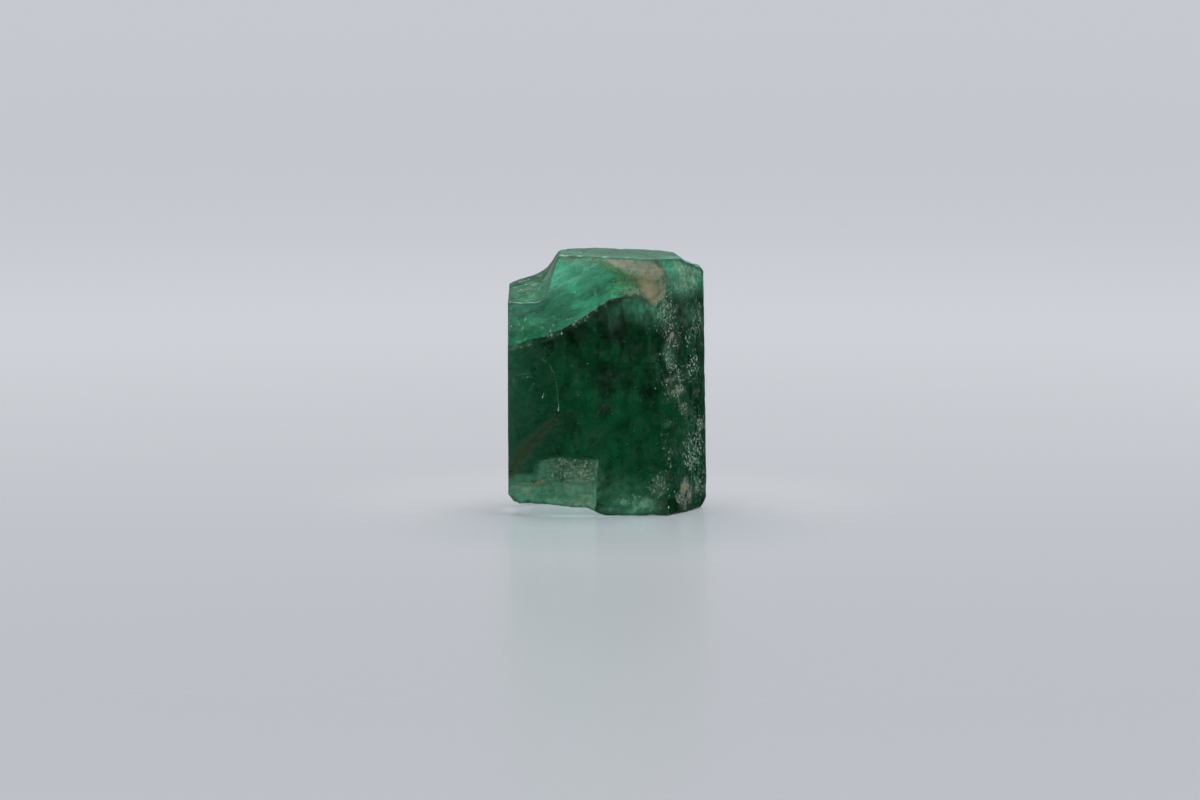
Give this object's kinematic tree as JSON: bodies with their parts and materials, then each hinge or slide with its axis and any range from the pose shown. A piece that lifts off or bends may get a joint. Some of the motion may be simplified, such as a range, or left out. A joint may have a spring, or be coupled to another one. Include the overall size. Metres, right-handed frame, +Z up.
{
  "type": "raw emerald crystal",
  "caption": "Rough hexagonal prism of green beryl, broken at one upper corner and chipped at the foot, standing upright on its flat end.",
  "frame": {"origin": "middle of the bounding box's bottom, on the flat end that the crystal stands on", "axes": "+Z up along the crystal's long axis, -Y out of the broad prism face"},
  "size_m": [0.0124, 0.009, 0.016],
  "materials": {
    "emerald": "clear to cloudy, smooth growth faces and frosted breaks"
  },
  "bodies": {
    "root": {"emerald_crystal": "emerald"}
  },
  "joints": []
}
